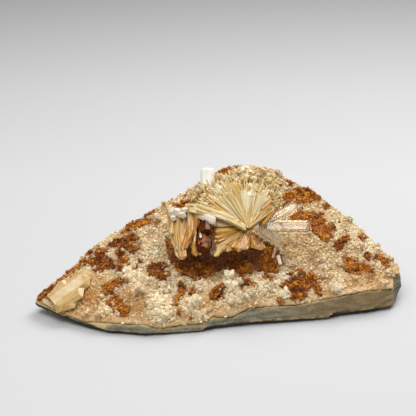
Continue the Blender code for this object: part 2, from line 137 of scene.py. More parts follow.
# The patches that are darker than the rest, how far in mm a patch stands out of the crust and reaches
# down into it, and how many places on the crust are tried for a crumb of limonite.
DARK_PATCHES = ("above_fingers", "hollow_left", "left_large", "left_upper", "left_tip", "left_inner",
                "front_middle", "right_mid", "front_right")  # fmt: skip
PATCH_RISE, PATCH_DEPTH = 0.9, 2.2
CRUMBS = 16000

# The hollow below the spray, by its outline in the photo's pixels.
HOLLOW = ((164, 238), (178, 240), (196, 250), (214, 254), (236, 250), (250, 240), (266, 242),
          (280, 250), (284, 266), (276, 274), (258, 272), (236, 267), (214, 272), (198, 280),
          (182, 274), (170, 262))  # fmt: skip

# The slate's lit lower edge, in the photo's pixels; below it the slate is undercut.
LIT_EDGE = ((30, 299), (36, 302.5), (58, 313.5), (81, 320.5), (90, 323), (106, 330.4), (133, 332.3),
            (152, 334.1), (163, 332.3), (200, 331.5), (206, 325.5), (233, 323.9), (254, 321.4),
            (271, 319.5), (288, 319.8), (300, 318.8), (328, 317.5), (331, 314.5), (346, 312),
            (359, 310.2), (376, 308.4), (394, 306), (410, 290))  # fmt: skip

# The slate's front foot, as x, y and height in mm. For FOOT_DEPTH mm behind it the underside is drawn
# steeper than it is: each point there comes forward by FOOT_PULL of its way behind the foot.
FRONT_FOOT = (
    (-75, -20, 5.3), (-66, -27, 4.0), (-55, -32, 2.2), (-45, -36.6, 1.4), (-30, -39, 1.3),
    (-15, -36.5, 0.7), (-8, -35.5, 0.8), (-3, -33.5, 2.1), (12, -30, 1.7), (30, -27.5, 1.6),
    (44, -24.7, 0.9), (48, -23, 2.0), (60, -20, 2.1), (71, -15.5, 1.3), (73, -10, 2.6), (75, -6, 6.4),
)  # fmt: skip
FOOT_DEPTH, FOOT_PULL = 7, 0.75

# Where the slate's front ends on the right and where its broken end face begins, as x in mm.
FRONT_END, END_FACE = 72, 71.5

# White clumps and golden stains on the crust: (photo pixel x, y, radius in mm, strength).
WHITE_CLUMPS = (
    (130, 274, 4.5, 1.0), (140, 287, 4.0, 0.6), (160, 312, 4.5, 1.0), (161, 300, 4.0, 0.9),
    (192, 300, 4.0, 1.0), (200, 314, 4.0, 0.7), (229, 277, 4.5, 1.0), (234, 290, 4.5, 1.0),
    (172, 273, 2.5, 0.9), (168, 288, 3.5, 0.9), (283, 275, 4.0, 0.7), (336, 287, 3.0, 0.9),
    (284, 294, 2.5, 0.9), (108, 308, 4.5, 0.8), (112, 258, 2.5, 0.9), (262, 288, 4.0, 0.7),
    (376, 264, 3.0, 0.8), (326, 262, 3.5, 0.5), (205, 286, 3.0, 0.8), (165, 222, 3.0, 0.6),
    (90, 268, 3.0, 0.8), (246, 172, 4.0, 0.4), (150, 250, 4.0, 0.4), (345, 215, 4.0, 0.4),
)  # fmt: skip
GOLD_STAINS = (
    (90, 297, 5.0, 1.0), (98, 306, 4.0, 0.8), (95, 280, 4.0, 0.6), (140, 306, 5.0, 0.8),
    (128, 296, 3.5, 0.7), (70, 312, 5.0, 0.6), (104, 320, 5.0, 0.6), (215, 312, 4.0, 0.5),
    (352, 283, 5.0, 0.6), (372, 280, 5.0, 0.6), (330, 293, 4.0, 0.6), (250, 306, 5.0, 0.5),
    (205, 304, 3.5, 0.6), (158, 226, 4.0, 0.5), (300, 252, 6.0, 0.3), (312, 264, 5.0, 0.4),
)  # fmt: skip

# Small quartz points on the crust: how many places are tried for one, and their radius and length in mm.
# Few of them grow within LEDGE_WIDTH mm of the slate.
FINE_POINTS, FINE_RADIUS, FINE_LENGTH = 17000, (0.32, 0.62), (0.9, 1.7)
CLUMP_POINTS, CLUMP_RADIUS, CLUMP_LENGTH = 14000, (0.55, 1.3), (1.6, 3.2)
POINTS_PER_PIECE = 8500
LEDGE_WIDTH = 2.6

# The grains of the massive quartz between the points, in mm.
SUGAR_GRAIN = 1.111

# The spray. Its own frame has its place on the crust as its origin, x along ACROSS, y along UP_FACE
# and z along GROWTH. A blade is (root pixel, root height, tip pixel, tip height, radius, flatness,
# gold): the pixels are the photo's, and the heights and the radius are in mm. Only the blades of the
# fingers have an eighth value, their taper.
SPRAY_ORIGIN = Vector((10.0, 4.2, 32.33))
NECK = (2.3, -6.5, 2.0)
CLEAR_BLADES = (
    ((264, 224), 3.5, (298, 205), 8.0, 2.1, 0.8, 0.0),
    ((268, 227), 4.0, (311, 227), 8.5, 2.9, 0.62, 0.0),
    ((258, 230), 3.5, (288, 246), 8.5, 2.1, 0.8, 0.3),
    ((277, 244), 5.0, (272.5, 258), 5.0, 0.5, 0.9, 0.0),
    ((275, 217), 7.0, (281, 224), 9.0, 0.55, 0.9, 0.0),
    ((274, 215), 5.0, (280, 203), 7.5, 0.55, 0.9, 0.0),
    ((271, 216), 5.0, (276, 204), 7.0, 0.5, 0.9, 0.1),
)

# The way that the clear points' broad faces look, which shows them brightest.
PRISM_FACE = Vector((-0.1, -0.7, 0.7))

# Golden pieces on the tips of two clear points, along the fan's right edge, in its top and under it.
GOLDEN_TIPS = (
    ((283, 241), 8.3, (288, 246), 8.9, 1.7, 0.6, 1.0),
    ((308, 222.5), 8.4, (311.5, 231.5), 8.4, 0.6, 0.8, 0.8),
    ((263, 224), 4.5, (275, 210), 8.0, 1.0, 0.6, 0.9),
    ((262, 209), 7.0, (273, 199), 8.5, 1.3, 0.5, 1.0),
    ((245, 195), 7.9, (258, 191), 8.6, 0.45, 0.5, 0.8),
    ((246, 197), 7.8, (256, 196), 8.5, 0.35, 0.5, 0.8),
    ((252, 244), 1.5, (266, 248), 3.0, 2.0, 0.4, 0.7),
)
SKIRT_BLADES = (
    ((247, 229), 3.0, (213, 231), 4.0, 1.9, 0.4, 0.95),
    ((247, 229), 2.5, (213, 241), 4.0, 2.1, 0.4, 1.0),
    ((247, 230), 2.5, (217, 250), 4.5, 2.1, 0.45, 0.6),
    ((247, 230), 2.0, (225, 251), 3.5, 2.0, 0.45, 1.0),
    ((248, 231), 2.0, (237, 252), 4.5, 1.7, 0.5, 0.8),
    ((249, 231), 1.5, (245, 249), 3.0, 1.8, 0.5, 1.0),
    ((254, 234), 1.0, (258, 249), 2.5, 1.9, 0.5, 0.9),
    ((230, 232), 3.0, (215, 257), 5.0, 1.3, 0.5, 0.3),
)
FINGER_BLADES = (
    ((177, 212), 3.5, (179, 252), 6.5, 3.7, 0.45, 0.6, 0.4),
    ((179, 224), 5.0, (183, 260), 7.3, 1.9, 0.6, 0.6, 0.9),
    ((171, 212), 3.0, (176, 242), 5.0, 2.3, 0.5, 0.6, 0.5),
    ((186, 212), 3.5, (182, 244), 5.8, 2.4, 0.5, 0.6, 0.5),
    ((196, 217), 4.5, (182.5, 251), 8.0, 2.5, 0.5, 0.95, 0.6),
    ((191, 212), 4.0, (187, 240), 6.5, 1.8, 0.5, 0.7, 0.6),
    ((195, 222), 3.0, (195.5, 256.5), 5.5, 1.7, 0.8, 0.7, 0.95),
    ((199, 230), 3.0, (200, 256), 4.5, 1.2, 0.7, 0.9, 0.9),
)
KNOB_AND_GLINT_BLADES = (
    ((180, 214), 2.5, (168, 211), 7.5, 2.5, 0.85, 0.0),
    ((181, 216), 3.5, (175, 210.5), 9.2, 2.4, 0.85, 0.0),
    ((184, 218), 3.0, (181, 214), 9.2, 2.2, 0.8, 0.0),
    ((177, 219), 3.0, (172, 218), 8.3, 1.7, 0.85, 0.0),
    ((183, 212), 4.0, (186, 209), 8.0, 1.8, 0.8, 0.0),
    ((195, 212), 5.5, (216, 222), 8.8, 1.9, 0.4, 0.0),
    # The next two tiny white points are painted highlights: they stand for glints on the rust-coated piece.
    ((201, 233), 6.5, (200.5, 238), 8.4, 0.6, 0.5, 0.0),
    ((200, 243), 6.0, (199.5, 247), 8.0, 0.6, 0.5, 0.0),
    ((278, 256), 2.5, (281, 265), 3.5, 0.9, 0.7, 0.0),
)
RUSTY_BLADES = (
    ((206, 217), 3.0, (203, 252), 6.6, 3.2, 0.85, 1.0),
    ((202, 221), 3.5, (199, 247), 7.0, 1.8, 0.8, 1.0),
    ((209, 221), 3.8, (208, 248), 6.9, 1.8, 0.8, 1.0),
    ((207, 216), 4.5, (207, 233), 7.9, 2.3, 0.8, 1.0),
    ((203, 230), 4.5, (202, 250), 7.6, 1.7, 0.9, 1.0),
)

# The fan's neck and its upper edge, in the photo's pixels. It is golden from GOLDEN_EDGE of the way on.
FAN_NECK = (249, 228)
FAN_ARC = ((199, 207), (204, 199), (212, 191), (222, 185), (234, 182.5), (246, 183.5), (258, 187),
           (268, 191.5), (275, 198), (279, 207))  # fmt: skip
GOLDEN_EDGE = 0.84

# How many points of each kind are spread over the spray.
FAN_BLADES = 42
NEEDLES = 220
FRINGE_POINTS = 260
SILK_NEEDLES = 130
SKIRT_NEEDLES = 70

# The core stops at this pixel across, and what stands over CORE_HEIGHT mm is pressed down by CORE_PRESS.
CLEAR_FROM = 259
CORE_HEIGHT, CORE_PRESS = 4.0, 0.75

# The quartz's streaks: their pattern per mm across a point and along it, and per radian round the neck.
GRAIN_ACROSS, GRAIN_ALONG, GRAIN_ROUND = 1.4, 0.16, 16

# The large pale crystals at the left tip and the white one near the peak, in the same way.
PALE_BLADES = (
    ((53, 303), 0.5, (89, 275), 4.0, 4.5, 0.45, 0.3),
    ((57, 306), 1.0, (85, 289), 4.2, 3.8, 0.45, 0.2),
    ((70, 288), 0.5, (91, 271), 3.4, 3.3, 0.5, 0.05),
    ((56, 308), 0.5, (78, 302), 3.0, 2.9, 0.5, 0.1),
    ((51, 300), 0.8, (66, 280), 3.4, 2.6, 0.5, 0.1),
)
WHITE_BLADE = ((208, 189), 0.8, (207, 167.5), 4.4, 3.2, 0.8, 0.0)


def linear(code):
    """An sRGB hex colour as linear red, green and blue with an alpha of 1."""
    parts = [int(code[k : k + 2], 16) / 255 for k in (1, 3, 5)]
    return (*[c / 12.92 if c <= 0.04045 else ((c + 0.055) / 1.055) ** 2.4 for c in parts], 1.0)


def activate(obj):
    """Leaves only this object selected, and active."""
    for other in bpy.context.selected_objects:
        other.select_set(False)
    obj.select_set(True)
    bpy.context.view_layer.objects.active = obj


def apply(obj, kind, **settings):
    """Adds a modifier with its settings and applies it."""
    activate(obj)
    modifier = obj.modifiers.new(kind.lower(), kind)
    for name, value in settings.items():
        setattr(modifier, name, value)
    bpy.ops.object.modifier_apply(modifier=modifier.name)


def displace(obj, strength, scale, basis="BLENDER_ORIGINAL", stretch=(1, 1, 1), turn=(0, 0, 0),
             depth=2, middle=0.5, kind="CLOUDS", group=""):  # fmt: skip
    """Pushes the surface in and out, by a pattern of that size in mm that may be stretched."""
    texture = bpy.data.textures.new("relief", kind)
    if kind == "WOOD":
        texture.wood_type = "BANDNOISE"
        texture.noise_basis_2 = "TRI"
        texture.turbulence = 6.0
    else:
        texture.noise_depth = depth
    texture.noise_scale = 1.0
    texture.noise_basis = basis
    guide = bpy.data.objects.new("guide", None)
    bpy.context.scene.collection.objects.link(guide)
    guide.scale = Vector(stretch) * scale * MM
    guide.rotation_euler = turn
    bpy.context.view_layer.update()
    apply(obj, "DISPLACE", texture=texture, texture_coords="OBJECT", texture_coords_object=guide,
          strength=strength * MM, mid_level=middle, vertex_group=group)  # fmt: skip
    bpy.data.objects.remove(guide)


def copy_of(node, name):
    """A copy of a CAD node as a new piece, its loose triangles merged."""
    piece = bpy.data.objects.new(name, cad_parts[node].data.copy())
    bpy.context.scene.collection.objects.link(piece)
    piece.data.materials.clear()
    activate(piece)
    bpy.ops.object.mode_set(mode="EDIT")
    bpy.ops.mesh.select_all(action="SELECT")
    bpy.ops.mesh.remove_doubles(threshold=0.00001)
    bpy.ops.object.mode_set(mode="OBJECT")
    return piece


def finish_piece(piece, material, slot, *nodes):
    """Gives a piece its material and its place in the frame."""
    piece.data.materials.clear()
    piece.data.materials.append(material)
    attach(piece, "root")
    if nodes:
        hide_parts(*nodes)


def tree_of(*pieces):
    """One search tree over the meshes of several objects, in millimetres."""
    points, faces = [], []
    for piece in pieces:
        first = len(points)
        points += [v.co / MM for v in piece.data.vertices]
        faces += [[first + k for k in p.vertices] for p in piece.data.polygons]
    return BVHTree.FromPolygons(points, faces)


def points_of(piece):
    """A piece's points as an array in millimetres."""
    places = np.empty(len(piece.data.vertices) * 3)
    piece.data.vertices.foreach_get("co", places)
    return places.reshape(-1, 3) / MM


def move_points(piece, places):
    """Puts a piece's points at an array of places in millimetres."""
    piece.data.vertices.foreach_set("co", (places * MM).reshape(-1))
    piece.data.update()


def set_grain(piece, grain):
    """Stores the place of each of a piece's points in the streaks' pattern."""
    array = grain.reshape(-1).astype(np.float32)
    piece.data.attributes.new("grain", "FLOAT_VECTOR", "POINT").data.foreach_set("vector", array)


def set_values(piece, label, values):
    """Stores one number for each of a piece's points, for its material to read."""
    array = np.asarray(values, np.float32)
    piece.data.attributes.new(label, "FLOAT", "POINT").data.foreach_set("value", array)


# Between the photo's pixels and the specimen

CAMERA_BACK = Vector((0, -math.cos(CAMERA_TILT), math.sin(CAMERA_TILT)))
CAMERA_UP = Vector((0, math.sin(CAMERA_TILT), math.cos(CAMERA_TILT)))
CAMERA_PLACE = CAMERA_AIM + CAMERA_BACK * CAMERA_DISTANCE
FOCAL_PIXELS = CAMERA_DISTANCE / MM_PER_PIXEL


def view_way(pixel):
    """The direction from the camera through a pixel of the photo."""
    half = PHOTO_PIXELS / 2
    way = ACROSS * (pixel[0] - half) + CAMERA_UP * (half - pixel[1]) - CAMERA_BACK * FOCAL_PIXELS
    return way.normalized()


def pixels_of(points):
    """The photo's pixels that an array of points in millimetres is seen at, as x and y."""
    away = points - np.array(CAMERA_PLACE)
    scale = FOCAL_PIXELS / -(away @ np.array(CAMERA_BACK))
    half = PHOTO_PIXELS / 2
    return half + away[:, 0] * scale, half - away @ np.array(CAMERA_UP) * scale


def seen_on_crust(pixel, centre=None):
    """The crust's point behind a pixel; one off the crust is first moved towards a centre."""
    for step in range(12):
        share = step / 12
        spot = pixel
        if centre:
            spot = [a + (b - a) * share for a, b in zip(pixel, centre)]
        hit = crust_tree.ray_cast(CAMERA_PLACE, view_way(spot))[0]
        if hit is not None:
            return hit
    return None


def seen_at(pixel, height, origin=SPRAY_ORIGIN):
    """The point behind a pixel that stands at this height over a place on the crystal face."""
    way = view_way(pixel)
    level = origin + GROWTH * height
    return CAMERA_PLACE + way * ((level - CAMERA_PLACE).dot(GROWTH) / way.dot(GROWTH))


def inside(outline, x, y):
    """Which of many pixels lie inside an outline of pixels."""
    within = np.zeros(len(x), bool)
    for (ax, ay), (bx, by) in zip(outline, outline[1:] + outline[:1]):
        if ay != by:
            within ^= ((ay > y) != (by > y)) & (x < ax + (y - ay) * (bx - ax) / (by - ay))
    return within


def ragged_pixels(points, amount=2.4, size=1.6):
    """The pixels of points, shaken so that patches come out with broken edges."""
    x, y = pixels_of(points)
    shake = np.array([noise.noise_vector(p / size) for p in points])
    return x + amount * shake[:, 0], y + amount * shake[:, 1]


# Camera, floor and light


def make_camera():
    camera = bpy.data.objects.new("camera", bpy.data.cameras.new("camera"))
    bpy.context.scene.collection.objects.link(camera)
    camera.location = CAMERA_PLACE * MM
    camera.rotation_euler = (math.pi / 2 - CAMERA_TILT, 0, 0)
    camera.data.sensor_width = SENSOR
    camera.data.lens = SENSOR * CAMERA_DISTANCE / (PHOTO_PIXELS * MM_PER_PIXEL)
    camera.data.clip_start = 0.01
    bpy.context.scene.camera = camera


def softbox(name, place, target, size, power):
    light = bpy.data.lights.new(name, "AREA")
    light.shape = "RECTANGLE"
    light.size, light.size_y = size
    light.energy = power
    obj = bpy.data.objects.new(name, light)
    obj.location = place
    obj.rotation_euler = (Vector(target) - Vector(place)).to_track_quat("-Z", "Y").to_euler()
    bpy.context.scene.collection.objects.link(obj)


def make_studio():
    """A pale paper floor under softboxes in front, behind and above, in a bright room."""
    bpy.ops.mesh.primitive_plane_add(size=6.0, location=(0, 0, -0.0002))
    floor = bpy.context.object
    floor.name = "floor"
    floor.data.materials.append(paper_material())
    softbox("key_softbox", (-0.12, -0.26, 0.60), (0, -0.02, 0.02), (0.42, 0.36), 2.3)
    softbox("rear_softbox", (0.22, 0.28, 0.53), (0, -0.02, 0.02), (0.45, 0.36), 2.8)
    softbox("overhead_softbox", (0.02, 0.12, 0.80), (0, 0, 0.02), (1.0, 0.8), 1.9)
    world = bpy.data.worlds.new("room")
    bpy.context.scene.world = world
    world.use_nodes = True
    room = world.node_tree.nodes["Background"]
    room.inputs["Color"].default_value = linear("#FFFFFF")
    room.inputs["Strength"].default_value = 0.37
    bpy.context.scene.view_settings.view_transform = "Standard"


# Materials


def new_material(name):
    made = bpy.data.materials.new(name)
    made.use_nodes = True
    return made, made.node_tree, made.node_tree.nodes["Principled BSDF"]


def set_input(tree, made, name, value):
    """Links a socket to a node's input, or gives the input a value."""
    if isinstance(value, bpy.types.NodeSocket):
        tree.links.new(value, made.inputs[name])
    else:
        made.inputs[name].default_value = value


def add(tree, kind, sockets=None, **settings):
    """Adds a node with its settings, and its inputs' values or links."""
    made = tree.nodes.new(kind)
    for name, value in settings.items():
        setattr(made, name, value)
    for name, value in (sockets or {}).items():
        set_input(tree, made, name, value)
    return made


def mix(tree, factor, first, second, blend="MIX"):
    """Two colours mixed by a factor; each may be a socket or a colour."""
    sockets = {0: factor, 6: first, 7: second}
    return add(tree, "ShaderNodeMix", sockets, data_type="RGBA", blend_type=blend).outputs[2]


def math_of(tree, operation, first, second, clamp=False):
    sockets = {0: first, 1: second}
    return add(tree, "ShaderNodeMath", sockets, operation=operation, use_clamp=clamp).outputs[0]


def ramp(tree, factor, *stops):
    """A colour ramp with stops (place, hex colour)."""
    made = add(tree, "ShaderNodeValToRGB", {"Fac": factor})
    points = made.color_ramp.elements
    while len(points) < len(stops):
        points.new(0.5)
    for point, (place, code) in zip(points, stops):
        point.position = place
        point.color = linear(code)
    return made.outputs["Color"]


def value_of(tree, label):
    return add(tree, "ShaderNodeAttribute", attribute_name=label).outputs["Fac"]


def object_place(tree):
    return add(tree, "ShaderNodeTexCoord").outputs["Object"]


def noise_of(tree, place, size, detail=3.0):
    """Noise with forms of that many millimetres."""
    sockets = {"Vector": place, "Scale": 1 / (size * MM), "Detail": detail}
    return add(tree, "ShaderNodeTexNoise", sockets).outputs["Fac"]


def bump(tree, height, strength, distance, before=None):
    """A bump of that many millimetres, over an earlier one if there is one."""
    sockets = {"Height": height, "Strength": strength, "Distance": distance * MM}
    if before:
        sockets["Normal"] = before
    return add(tree, "ShaderNodeBump", sockets).outputs[0]


def set_shader(tree, shader, **values):
    """Sets the shader's inputs, each named with _ for a space, to values or sockets."""
    for name, value in values.items():
        set_input(tree, shader, name.replace("_", " "), value)


def paper_material():
    """Matt background paper: pale grey, and darker where it runs back out of the light."""
    made, tree, shader = new_material("matt_background_paper")
    place = object_place(tree)
    depth = add(tree, "ShaderNodeSeparateXYZ", {"Vector": place}).outputs["Y"]
    share = add(tree, "ShaderNodeMapRange", {"Value": depth, "From Min": 0.12, "From Max": 0.5})
    colour = ramp(tree, share.outputs[0], (0.0, "#C1C1C2"), (0.35, "#B9B9BA"), (1.0, "#989898"))
    set_shader(tree, shader, Base_Color=colour, Roughness=0.85)
    return made


def slate_material():
    """Slate, broken and cleaved: dull, fine-grained grey-green, stained brown by iron."""
    made, tree, shader = new_material("broken_slate")
    place = object_place(tree)
    turned = add(tree, "ShaderNodeMapping", {"Vector": place, "Rotation": (-FACE_SLOPE, 0, 0),
                                             "Scale": (1, 1, 6)})  # fmt: skip
    bedding = noise_of(tree, turned.outputs[0], 6.25, 5.0)
    grain = noise_of(tree, place, 0.6667)
    cloud = noise_of(tree, place, 12.5, 4.0)
    grey = ramp(tree, bedding, (0.4, "#56554C"), (0.5, "#7C7764"), (0.6, "#A0957A"))
    cool = ramp(tree, cloud, (0.46, "#000000"), (0.6, "#8A8A8A"))
    greyer = mix(tree, cool, grey, linear("#5C6866"))
    speckled = mix(tree, 0.3, greyer, ramp(tree, grain, (0.42, "#36352E"), (0.58, "#9A937A")))
    patch = math_of(tree, "MULTIPLY", value_of(tree, "stain"), cloud)
    spread = math_of(tree, "MULTIPLY", patch, 1.8, clamp=True)
    stained = mix(tree, spread, speckled, linear("#94702F"))
    edged = mix(tree, value_of(tree, "rim"), stained, linear("#CDB47A"))
    # Painted shade: "under" darkens the undercut and the foot almost to black, standing in for the shade
    # under the overhang.
    undercut = mix(tree, value_of(tree, "under"), edged, linear("#1E1E1A"))
    rough = bump(tree, bedding, 0.4, 0.6, bump(tree, grain, 0.35, 0.3))
    set_shader(tree, shader, Base_Color=undercut, Normal=rough, Roughness=0.72)
    return made


def druse_colour(tree, place):
    """The crust's colours: cream and tan, white in its clumps, golden and rusty in its stains."""
    cloud = noise_of(tree, place, 16.67)
    total = math_of(tree, "ADD", value_of(tree, "tone"), cloud)
    half = math_of(tree, "MULTIPLY", total, 0.5)
    cream = ramp(tree, half, (0.2, "#BE9A5C"), (0.42, "#DAC092"), (0.6, "#E6D6B2"), (0.85, "#F2EAD8"))
    golden = mix(tree, value_of(tree, "gold"), cream, linear("#C8944A"))
    whitened = mix(tree, value_of(tree, "white"), golden, linear("#EEDFBC"))
    return mix(tree, value_of(tree, "rust"), whitened, linear("#8E4C14"))


def quartz_point_material():
    """Drusy quartz: small glossy points, each of its own tone from tan to cream and white."""
    made, tree, shader = new_material("drusy_quartz_points")
    place = object_place(tree)
    set_shader(tree, shader, Base_Color=druse_colour(tree, place), Roughness=0.28, IOR=1.54)
    return made


def crust_material():
    """The massive quartz between the points: sugary and duller, with painted shade darkening the pits
    between its grains to tan.
    """
    made, tree, shader = new_material("massive_crust_quartz")
    place = object_place(tree)
    sockets = {"Vector": place, "Scale": 1 / (SUGAR_GRAIN * MM)}
    grain = add(tree, "ShaderNodeTexVoronoi", sockets).outputs["Distance"]
    # Painted shade: the edges of the grains, where the bump sinks them, are darkened towards tan.
    shade = ramp(tree, grain, (0.0, "#F2E6CE"), (0.8, "#BE9860"))
    sugar = mix(tree, 0.8, druse_colour(tree, place), shade, "MULTIPLY")
    set_shader(tree, shader, Base_Color=sugar, Normal=bump(tree, grain, -0.6, 0.5), Roughness=0.45)
    return made


def limonite_material():
    """Limonite after siderite: earthy and hackly, dark red-brown to ochre, with painted shade in its pits
    and painted light on what stands out.
    """
    made, tree, shader = new_material("earthy_limonite")
    place = object_place(tree)
    fine = noise_of(tree, place, 1.111, 4.0)
    broad = noise_of(tree, place, 3.846, 4.0)
    # Painted shade and light: the higher a spot stands over the crust, the lighter and more ochre it is
    # drawn.
    with_relief_light = math_of(tree, "ADD", math_of(tree, "ADD", fine, broad), value_of(tree, "painted_relief_light"))
    toned = math_of(tree, "ADD", with_relief_light, value_of(tree, "tone"))
    third = math_of(tree, "MULTIPLY", toned, 0.3333)
    colour = ramp(tree, third, (0.2, "#2E1204"), (0.33, "#74370A"), (0.45, "#B26A16"),
                  (0.6, "#E6A83E"))  # fmt: skip
    set_shader(tree, shader, Base_Color=colour, Normal=bump(tree, fine, 0.7, 0.4), Roughness=0.55,
               Specular_IOR_Level=0.3)  # fmt: skip
    return made


def mango_material(name, transmission, milky_stops, vein_stops):
    """Mango quartz: glossy, milky yellow with golden streaks along it, part see-through or not at all."""
    made, tree, shader = new_material(name)
    place = object_place(tree)
    grain = add(tree, "ShaderNodeAttribute", attribute_name="grain").outputs["Vector"]
    # With the grain's stretch, a streak is about 0.7 mm across and 6 mm long.
    streaks = add(tree, "ShaderNodeTexNoise", {"Vector": grain, "Scale": 1.1, "Detail": 5.0}).outputs["Fac"]
    cloud = noise_of(tree, place, 7.692)
    total = math_of(tree, "ADD", math_of(tree, "ADD", streaks, value_of(tree, "tone")), cloud)
    third = math_of(tree, "MULTIPLY", total, 0.3333)
    milky = ramp(tree, third, *milky_stops)
    colour = mix(tree, value_of(tree, "gold"), milky, ramp(tree, streaks, *vein_stops))
    set_shader(tree, shader, Base_Color=colour, Normal=bump(tree, streaks, 0.3, 0.25), Roughness=0.18,
               IOR=1.54, Transmission_Weight=transmission)  # fmt: skip
    return made


def clear_material():
    """Rock crystal: water-clear, with a trace of straw colour where it is thick."""
    made, tree, shader = new_material("clear_rock_crystal")
    set_shader(tree, shader, Base_Color=linear("#FFF2D8"), Roughness=0.02, IOR=1.544,
               Transmission_Weight=0.88)  # fmt: skip
    sockets = {"Color": linear("#F0DCA8"), "Density": 80.0}
    absorb = add(tree, "ShaderNodeVolumeAbsorption", sockets)
    tree.links.new(absorb.outputs[0], tree.nodes["Material Output"].inputs["Volume"])
    return made


def cloudy_material(name, dark, light, transmission, roughness, fleck=0.0):
    """A large milky crystal: two close colours in soft clouds, with rusty flecks in some."""
    made, tree, shader = new_material(name)
    place = object_place(tree)
    cloud = noise_of(tree, place, 3.846, 5.0)
    colour = ramp(tree, cloud, (0.3, dark), (0.65, light))
    if fleck:
        spots = ramp(tree, noise_of(tree, place, 3.03, 6.0), (0.62, "#000000"), (0.7, "#FFFFFF"))
        share = math_of(tree, "MULTIPLY", spots, fleck)
        colour = mix(tree, share, colour, linear("#B4701E"))
    set_shader(tree, shader, Base_Color=colour, Normal=bump(tree, cloud, 0.15, 0.4),
               Roughness=roughness, IOR=1.54, Transmission_Weight=transmission)  # fmt: skip
    return made


def coated_material():
    """Quartz under a skin of iron oxide: glossy dark red-brown, with orange along its ridges."""
    made, tree, shader = new_material("rust_coated_quartz")
    place = object_place(tree)
    cloud = noise_of(tree, place, 1.923, 4.0)
    colour = ramp(tree, cloud, (0.38, "#140502"), (0.53, "#461806"), (0.64, "#84380A"), (0.76, "#C87C2C"))
    set_shader(tree, shader, Base_Color=colour, Normal=bump(tree, cloud, 0.7, 0.8), Roughness=0.16,
               IOR=1.54, Specular_Tint=linear("#D8904C"))  # fmt: skip
    return made


# Quartz points


def point_template():
    """One quartz point of radius 1: its prism from height 0 to 1, and its tip at height 2."""
    bpy.ops.mesh.primitive_cylinder_add(vertices=6, radius=1.0, depth=1.0, location=(0, 0, 0.5))
    obj = bpy.context.object
    activate(obj)
    bpy.ops.object.transform_apply(location=True)
    bpy.ops.object.mode_set(mode="EDIT")
    bpy.ops.mesh.select_all(action="DESELECT")
    shape = bmesh.from_edit_mesh(obj.data)
    for face in shape.faces:
        face.select = face.normal.z > 0.9
    bmesh.update_edit_mesh(obj.data)
    bpy.ops.mesh.extrude_region_move(TRANSFORM_OT_translate={"value": (0, 0, 1)})
    bpy.ops.mesh.merge(type="CENTER")
    bpy.ops.object.mode_set(mode="OBJECT")
    return obj


def column(listed, label, fallback):
    """One value of every listed point, or the fallback where a point has none."""
    return np.array([item.get(label, fallback) for item in listed], float)


def quartz_points(name, listed, template):
    """One mesh of many quartz points, each a dict of its root, tip, radius and other values.

    The template's corners lie on its Y axis, so that axis becomes a point's broad way.
    """
    base = np.array([v.co for v in template.data.vertices])
    faces = [list(p.vertices) for p in template.data.polygons]
    count, size = len(listed), len(base)
    roots = np.array([item["root"] for item in listed], float)
    axes = np.array([item["tip"] for item in listed], float) - roots
    lengths = np.linalg.norm(axes, axis=1)
    radii = column(listed, "radius", 1.0)
    w = axes / lengths[:, None]
    v = np.array([item["face"] for item in listed], float)
    v -= w * np.sum(v * w, axis=1)[:, None]
    v /= np.linalg.norm(v, axis=1)[:, None]
    u = np.cross(v, w)
    caps = np.minimum(0.45 * lengths, radii * column(listed, "cap", 1.1))
    upper = base[:, 2]
    body = np.minimum(upper, 1.0)[None, :] * (lengths - caps)[:, None]
    cap = np.maximum(upper - 1.0, 0.0)[None, :] * caps[:, None]
    turn = np.round(np.arctan2(base[:, 0], base[:, 1]) / (math.pi / 3)).astype(int) % 2
    raised = ((upper > 0.5) & (upper < 1.5) & (turn == 1)).astype(float)
    along = body + cap + 0.3 * raised[None, :] * caps[:, None]
    narrow = 1 + (column(listed, "taper", 0.9)[:, None] - 1) * np.minimum(upper, 1.0)[None, :]
    apex = (upper > 1.5).astype(float)[None, :] * column(listed, "skew", 0.0)[:, None]
    x = (base[None, :, 1] * narrow + apex) * radii[:, None]
    y = -base[None, :, 0] * narrow * (radii * column(listed, "flat", 0.9))[:, None]
    places = (roots[:, None, :] + u[:, None, :] * x[..., None] + v[:, None, :] * y[..., None]
              + w[:, None, :] * along[..., None])  # fmt: skip
    mesh = bpy.data.meshes.new(name)
    every = [[f + k * size for f in face] for k in range(count) for face in faces]
    mesh.from_pydata((places.reshape(-1, 3) * MM).tolist(), [], every)
    obj = bpy.data.objects.new(name, mesh)
    bpy.context.scene.collection.objects.link(obj)
    for label in ("tone", "white", "rust", "gold", "painted_relief_light"):
        set_values(obj, label, np.repeat(column(listed, label, 0.0), size))
    shift = column(listed, "tone", 0.0)[:, None] * 37.0
    ways = x * GRAIN_ACROSS, y * GRAIN_ACROSS, along * GRAIN_ALONG
    grain = np.stack([way + shift for way in ways], axis=-1)
    set_grain(obj, grain)
    return obj


# The slate and the crust


def nearness(points, tree, reach):
    """For each point, 1 where it touches the tree's surface and 0 from that reach on."""
    found = [tree.find_nearest(point, reach)[3] for point in points]
    return np.array([0.0 if far is None else 1 - far / reach for far in found])


